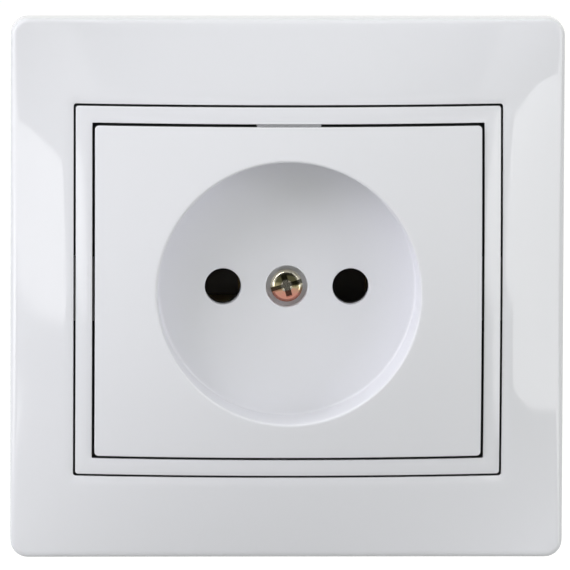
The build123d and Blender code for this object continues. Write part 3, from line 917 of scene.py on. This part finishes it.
# Slots of screws: length, width and depth
PLAIN_SLOT = (0.008, 0.0009, 0.0009)
PAN_SLOT = (0.008, 0.0008, 0.0009)
CROSS_SLOT = (0.0034, 0.0009, 0.0009)
SLOT_MARGIN = 0.0003
COVER_TURN = radians(16)
PIT_RADIUS = 0.0013
PIT_TIP = 0.00035
PIT_DEPTH = 0.00055


def turned(radius, along, centre):
    """Rows of a shape turned about an axis along Y, each point at its radius from the axis at its bearing.

    The radius is one for each row, or one for each row and bearing.
    """
    radius = np.asarray(radius)
    if radius.ndim == 1:
        radius = np.repeat(radius[:, None], SCREW_SIDES, axis=1)
    x = centre[0] + radius * np.cos(BEARINGS)
    z = centre[1] + radius * np.sin(BEARINGS)
    return np.stack([x, np.broadcast_to(np.reshape(along, (-1, 1)), x.shape), z], axis=-1)


def pin_cutter(x, well):
    """The tool that cuts a pin hole through the well's floor, wider at its mouth by a round."""
    radius, size, floor = well.pin_hole / 2, well.hole_round, well.well_floor
    mouth = rounded(
        np.array([radius + size, -floor]), np.array([radius, -floor]), np.array([radius, size - floor])
    )
    profile = np.array([(0, -2 * floor), (radius + size, -2 * floor), *mouth, (radius, floor), (0, floor)])
    return lofted("pin_cutter", list(turned(profile[:, 0], profile[:, 1], (x, 0))), ring=False)


def crown(radius, edge, tilt, lean, drop):
    """Radii and depths of a head's top, from its middle out to its side.

    The top is a parabola that reaches the tilt where the edge's round begins. The round is a second
    parabola, which starts with that tilt and ends at the side as steep as the drop over the lean.
    """
    reach = radius - edge
    out = np.linspace(0, reach, CROWN_ROWS)
    fall = tan(tilt)
    depth = out ** 2 * fall / (2 * reach)
    brink = depth[-1] + (edge - lean) * fall
    turn = np.array(rounded(
        np.array([reach, depth[-1]]), np.array([radius - lean, brink]), np.array([radius, brink + drop])
    ))
    return np.concatenate([out, turn[:, 0]]), np.concatenate([depth, turn[:, 1]])


def thread(node, head_height, way, radius, lead):
    """The threaded shank of a screw, from inside its head to the far end of its node.

    Its radius falls below the full one by a wave that passes once in each lead, and the wave moves back
    by a lead in each turn, which makes a right hand thread. Its end narrows to the core.
    """
    low, high, centre, _ = turned_box(node)
    end, tip = (low.y, high.y) if way > 0 else (high.y, low.y)
    start = end + way * (head_height - SLOT_MARGIN)
    along = np.linspace(start, tip, round(abs(tip - start) / lead * THREAD_ROWS))
    wave = (1 + np.cos(2 * pi * (along[:, None] / lead + BEARINGS / (2 * pi)))) / 2
    depth = THREAD_DEPTH * lead
    left = np.abs(tip - along)[:, None]
    radii = np.minimum(radius - depth * wave, radius - depth + left)
    rows = turned(np.pad(radii, ((1, 1), (0, 0))), [start, *along, tip], centre)
    return lofted("thread", list(rows), ring=False)


def slot_cutter(centre, end, way, size, turn):
    """The tool that cuts a slot of a length, width and depth into a screw head, turned about the screw."""
    span, width, depth = size
    aside = np.array([cos(turn), sin(turn)]) * span / 2
    foot, top = sorted((-end - way * depth, -end + way * SLOT_MARGIN))
    return bars("slot_cutter", [bar(centre - aside, centre + aside, width, foot, flat(top))])


def pit_cutter(centre, end, way, turn):
    """The tool that cuts the pointed middle of a crossed slot: a pyramid with its corners along the slots."""
    corner = np.linspace(0, 2 * pi, 4, endpoint=False) + turn
    square = np.stack([np.cos(corner), np.sin(corner)], axis=1)
    sections = (
        (0, -SLOT_MARGIN), (PIT_RADIUS, -SLOT_MARGIN), (PIT_RADIUS, 0), (PIT_TIP, PIT_DEPTH), (0, PIT_DEPTH)
    )
    rows = [at_height(centre + size * square, -end - way * depth) for size, depth in sections]
    return lofted("pit_cutter", rows, ring=False)


def screw(node, way, height, shape, slots, shank, turn=0.0, pit=False):
    """A screw in the place of its node, with a crown, slots and a thread.

    The way is 1 for a head at the front and -1 for one at the back. The height and shape are the head's,
    the shank has the thread's radius and lead, and the node's box gives the rest.
    """
    low, high, centre, half = turned_box(node)
    end = low.y if way > 0 else high.y
    radius, depth = crown(half, *shape)
    foot = end + way * height
    rows = turned([*radius, half, 0], [*(end + way * depth), foot, foot], centre)
    piece = lofted(node + "_turned", list(rows), ring=False)
    for number, size in enumerate(slots):
        combine(piece, slot_cutter(centre, end, way, size, turn + number * pi / 2), "DIFFERENCE")
    if pit:
        combine(piece, pit_cutter(centre, end, way, turn), "DIFFERENCE")
    combine(piece, thread(node, height, way, *shank), "UNION", crossing=False)
    return piece


def rivet(node):
    """A rivet in the place of its node: a shank between two domed heads."""
    low, high, centre, half = turned_box(node)
    radius, depth = crown(half, *RIVET_TOP)
    foot = depth[-1]
    rows = turned(
        [*radius, RIVET_SHANK, RIVET_SHANK, *radius[::-1]],
        [*(low.y + depth), low.y + foot, high.y - foot, *(high.y - depth[::-1])],
        centre,
    )
    return lofted(node + "_turned", list(rows), ring=False)


class SOCKET_OT_screws(bpy.types.Operator):
    """Build the screws with their slots and threads, and the rivets"""

    bl_idname = "socket.screws"
    bl_label = "Screws and Rivets"

    def execute(self, context):
        finish = context.scene.socket_finish
        gold = golden_zinc("yellow_zinc", finish.yellow_zinc)
        shine = rainbow_zinc("cover_screw_zinc", finish.yellow_zinc, "cover_screw")
        bright = bright_zinc("screw_zinc", finish.screw_steel, SCREW_GLOSS)
        drawn = bright_zinc("drawn_metal", finish.rivet_metal, RIVET_GLOSS)
        plain, crossed = (PLAIN_SLOT,), (PLAIN_SLOT, PLAIN_SLOT)
        pairs = (
            ("claw_screw", ("upper", "lower"), 1, plain, CLAW_THREAD, gold),
            ("terminal_screw", ("left", "right"), -1, plain, TERMINAL_THREAD, bright),
            ("cap_screw", ("upper", "lower"), -1, crossed, CAP_THREAD, bright),
        )
        for kind, ends, way, slots, shank, material in pairs:
            for end in ends:
                node = f"{kind}_{end}"
                finish_piece(screw(node, way, CHEESE_HEIGHT, CHEESE_TOP, slots, shank), node, material)
        slots = (PAN_SLOT, CROSS_SLOT)
        piece = screw(
            "cover_screw", 1, PAN_HEIGHT, PAN_TOP, slots, COVER_THREAD, turn=COVER_TURN, pit=True
        )
        finish_piece(piece, "cover_screw", shine)
        for node in SLOT_OF:
            if node.startswith("rivet"):
                finish_piece(rivet(node), node, drawn)
        return {"FINISHED"}


# Widths of the soft edges of the works, by slot, and the nodes that are turned instead
SOFT_EDGES = {
    "base_moulding": 0.0003,
    "cap_moulding": 0.0003,
    "plate_steel": 0.00015,
    "claw_steel": 0.00015,
    "clamp_steel": 0.00015,
    "contact_brass": 0.0001,
    "screw_steel": 0.00015,
    "yellow_zinc": 0.0001,
}
SOFT_SEGMENTS = 2
TURNED = ("rivet", "cover_screw", "claw_screw", "terminal_screw", "cap_screw")


def soft_copy(node):
    """A copy of a node's mesh with doubled points merged, its flat faces whole and its edges softened."""
    mesh = frame["nodes"][node].data.copy()
    mesh.transform(frame["nodes"][node].matrix_world)
    shape = bmesh.new()
    shape.from_mesh(mesh)
    bmesh.ops.remove_doubles(shape, verts=shape.verts, dist=WELD)
    bmesh.ops.dissolve_limit(shape, angle_limit=FLAT_ANGLE, verts=shape.verts, edges=shape.edges)
    shape.to_mesh(mesh)
    shape.free()
    piece = linked(node + "_soft", mesh)
    edge = piece.modifiers.new("soft_edges", "BEVEL")
    edge.width = SOFT_EDGES[SLOT_OF[node]]
    edge.segments = SOFT_SEGMENTS
    edge.limit_method = "ANGLE"
    edge.angle_limit = SMOOTH_ANGLE
    edge.use_clamp_overlap = False
    edge.harden_normals = True
    return piece


class SOCKET_OT_works(bpy.types.Operator):
    """Build the plate, base, cap, contacts, clamps and claws behind the front, with soft edges"""

    bl_idname = "socket.works"
    bl_label = "Works Behind"

    def execute(self, context):
        finish = context.scene.socket_finish
        made = {
            "base_moulding": moulding("dark_moulding", finish.base_moulding, BASE_DULL),
            "cap_moulding": moulding("dark_cap", finish.cap_moulding, CAP_DULL),
            "yellow_zinc": golden_zinc("nut_zinc", finish.yellow_zinc),
            "plate_steel": bright_zinc("plate_zinc", finish.plate_steel, PLATE_GLOSS),
            "claw_steel": bright_zinc("claw_zinc", finish.claw_steel, CLAW_GLOSS),
            "clamp_steel": bright_zinc("clamp_zinc", finish.clamp_steel, CLAMP_GLOSS),
            "screw_steel": bright_zinc("pin_zinc", finish.screw_steel, SCREW_GLOSS),
            "contact_brass": bright_zinc("rolled_brass", finish.contact_brass, BRASS_GLOSS),
        }
        for node, slot in SLOT_OF.items():
            if slot in made and not node.startswith(TURNED):
                finish_piece(soft_copy(node), node, made[slot])
        return {"FINISHED"}


# Camera, floor and even light
SENSOR = 36.0
LENS = 806.0
AIM = (-0.0002, 0.0, 0.0)
WHITE = (1.0, 1.0, 1.0, 1.0)
FLOOR_REACH = 4.0
FLOOR_TONE = 0.45
FLOOR_ROUGHNESS = 0.9
FLOOR_LIFT = 0.74
EVEN_TINT = (1.0, 1.035, 0.885)

# Soft lamps: degrees to the right of the front and upwards, and watts
LAMP_DISTANCE = 2.0
LAMP_SIDE = 0.9
LAMP_TINT = (1.0, 0.995, 1.095)
LAMPS = {
    "left_lamp": (-70.0, 5.0, 15.0),
    "right_lamp": (55.0, 5.0, 11.0),
    "upper_left_lamp": (-45.0, 30.0, 9.0),
    "top_lamp": (-30.0, 80.0, 7.0),
}

# Cards that only reflections see: a glow, and corners in degrees to the right of the front and upwards
CARD_DISTANCE = 8.0
CARD_GLOW = 3.8
UPPER_GLOW = 6.0
FLAG_GLOW = 0.08
CARDS = {
    "left_card": (CARD_GLOW, (
        (-25.5, -7.0), (-28.5, -0.5), (-29.0, 4.0), (-55.0, 4.0),
        (-55.0, -6.3), (-44.0, -6.6), (-35.0, -9.0), (-30.0, -8.5),
    )),
    "right_card": (CARD_GLOW, (
        (20.0, -5.5), (21.5, 1.5), (25.0, 4.0), (30.0, 8.0), (60.0, 8.0),
        (60.0, -20.0), (36.0, -16.0), (37.0, -11.5), (40.5, -7.5), (28.0, -7.0),
    )),
    "side_card": (UPPER_GLOW, ((-84.0, -8.0), (-57.0, -8.0), (-50.0, 22.0), (-70.0, 38.0), (-84.0, 15.0))),
    "upper_left_card": (
        UPPER_GLOW, ((-46.0, 24.0), (-14.0, 48.0), (-10.0, 64.0), (-40.0, 62.0), (-66.0, 42.0))
    ),
    "upper_right_card": (UPPER_GLOW, ((48.0, 26.0), (66.0, 18.0), (76.0, 32.0), (56.0, 44.0))),
    "upper_flag": (FLAG_GLOW, ((-34.0, 12.0), (34.0, 12.0), (30.0, 44.0), (-30.0, 44.0))),
    "front_flag": (FLAG_GLOW, ((-4.0, -13.0), (9.0, -13.0), (9.0, -1.0), (-4.0, -1.0))),
}


def direction(azimuth, elevation):
    """Unit vector from the socket, at an angle to the right of the front and an angle upwards."""
    flat_part = cos(elevation)
    return Vector((sin(azimuth) * flat_part, -cos(azimuth) * flat_part, sin(elevation)))


def seen_rays(tree):
    """One for a ray from the camera, off a glossy surface or through glass, and none for the rest."""
    path = add_node(tree, "ShaderNodeLightPath").outputs
    gloss = add_math(tree, "MAXIMUM", path["Is Camera Ray"], path["Is Glossy Ray"])
    return add_math(tree, "MAXIMUM", gloss, path["Is Transmission Ray"])


def light_world(scene, even):
    """A world that is white to the camera and in reflections, and to the rest an even light."""
    world = bpy.data.worlds.new("studio")
    scene.world = world
    world.use_nodes = True
    tree = world.node_tree
    tree.nodes.clear()
    seen = seen_rays(tree)
    strength = add_node(tree, "ShaderNodeMix", {"Factor": seen, "A": even, "B": 1.0})
    tints = {"Factor": seen, "A": (*EVEN_TINT, 1.0), "B": WHITE}
    tint = add_node(tree, "ShaderNodeMix", tints, data_type="RGBA")
    light = {"Color": tint.outputs["Result"], "Strength": strength.outputs["Result"]}
    background = add_node(tree, "ShaderNodeBackground", light)
    add_node(tree, "ShaderNodeOutputWorld", {"Surface": background.outputs[0]})


def add_floor(height):
    """A wide pale floor, which takes shadows and looks white where none falls.

    Reflections don't see it, and show the white world in its place.
    """
    corners = FLOOR_REACH * np.array([(-1, -1, 0), (1, -1, 0), (1, 1, 0), (-1, 1, 0)]) + (0, 0, height)
    floor = new_piece("floor", corners, np.array([[0, 1, 2, 3]]))
    material, tree, shader = new_material("pale_floor")
    feed(tree, shader, {
        "Base Color": (FLOOR_TONE, FLOOR_TONE, FLOOR_TONE, 1.0),
        "Roughness": FLOOR_ROUGHNESS,
        "Specular IOR Level": 0.0,
        "Emission Color": WHITE,
        "Emission Strength": add_math(tree, "MULTIPLY", seen_rays(tree), FLOOR_LIFT),
    })
    floor.data.materials.append(material)
    floor.visible_glossy = False


def add_lamp(name, heading, power):
    """A square soft lamp in a direction from the socket, which faces the socket and isn't seen itself."""
    data = bpy.data.lights.new(name, "AREA")
    data.size = LAMP_SIDE
    data.energy = power
    data.color = LAMP_TINT
    lamp = linked(name, data)
    lamp.location = heading * LAMP_DISTANCE
    lamp.rotation_euler = (-heading).to_track_quat("-Z", "Y").to_euler()
    lamp.visible_camera = False
    lamp.visible_glossy = False


def add_card(name, glow, corners):
    """A flat card of even brightness in front of the socket, which shows only in reflections."""
    points = [direction(radians(across), radians(upward)) * CARD_DISTANCE for across, upward in corners]
    card = new_piece(name, np.array(points), np.arange(len(corners))[None, :])
    material, tree, _ = new_material(name)
    tree.nodes.clear()
    light = add_node(tree, "ShaderNodeEmission", {"Strength": glow})
    add_node(tree, "ShaderNodeOutputMaterial", {"Surface": light.outputs[0]})
    card.data.materials.append(material)
    card.visible_camera = False
    card.visible_diffuse = False
    card.visible_transmission = False
    card.visible_shadow = False


class SOCKET_OT_stage(bpy.types.Operator):
    """Set up the pale floor, the soft studio light and the camera"""

    bl_idname = "socket.stage"
    bl_label = "Stage"

    def execute(self, context):
        scene = context.scene
        settings = scene.socket_stage
        scene.view_settings.view_transform = "Standard"
        light_world(scene, settings.even_level)
        add_floor(-settings.floor_drop)
        for name, (across, upward, power) in LAMPS.items():
            add_lamp(name, direction(radians(across), radians(upward)), power * settings.lamp_level)
        for name, (glow, corners) in CARDS.items():
            add_card(name, glow, corners)
        lens = bpy.data.cameras.new("socket_camera")
        lens.sensor_width = SENSOR
        lens.lens = LENS
        camera = linked("socket_camera", lens)
        away = direction(settings.azimuth, settings.elevation)
        camera.location = Vector(AIM) + away * settings.distance
        upright = (-away).to_track_quat("-Z", "Y")
        camera.rotation_euler = (upright @ Quaternion((0, 0, 1), settings.roll)).to_euler()
        scene.camera = camera
        return {"FINISHED"}


class SOCKET_PT_panel(bpy.types.Panel):
    """The socket's pieces, sizes, colours and stage"""

    bl_idname = "SOCKET_PT_panel"
    bl_label = "Flush Wall Socket"
    bl_space_type = "VIEW_3D"
    bl_region_type = "UI"
    bl_category = "Socket"

    def draw(self, context):
        for operator in OPERATORS:
            self.layout.operator(operator.bl_idname)
        for key, group in GROUPS.items():
            for name in group.__annotations__:
                self.layout.prop(getattr(context.scene, key), name)


OPERATORS = (
    SOCKET_OT_outer_frame,
    SOCKET_OT_trim_ring,
    SOCKET_OT_centre_cover,
    SOCKET_OT_screws,
    SOCKET_OT_works,
    SOCKET_OT_stage,
)
GROUPS = {
    "socket_face": FaceSizes,
    "socket_well": WellSizes,
    "socket_finish": Finishes,
    "socket_stage": StageSettings,
}


def register():
    """Makes the classes and the scene's settings known to Blender."""
    for made in (*GROUPS.values(), *OPERATORS, SOCKET_PT_panel):
        bpy.utils.register_class(made)
    for name, group in GROUPS.items():
        setattr(bpy.types.Scene, name, PointerProperty(type=group))


def unregister():
    """Takes them away again."""
    for name in GROUPS:
        delattr(bpy.types.Scene, name)
    for made in reversed((*GROUPS.values(), *OPERATORS, SOCKET_PT_panel)):
        bpy.utils.unregister_class(made)


def main():
    """Builds every piece and the stage."""
    register()
    bpy.ops.socket.outer_frame()
    bpy.ops.socket.trim_ring()
    bpy.ops.socket.centre_cover()
    bpy.ops.socket.screws()
    bpy.ops.socket.works()
    bpy.ops.socket.stage()
    bpy.context.view_layer.update()


if __name__ == "__main__":
    main()
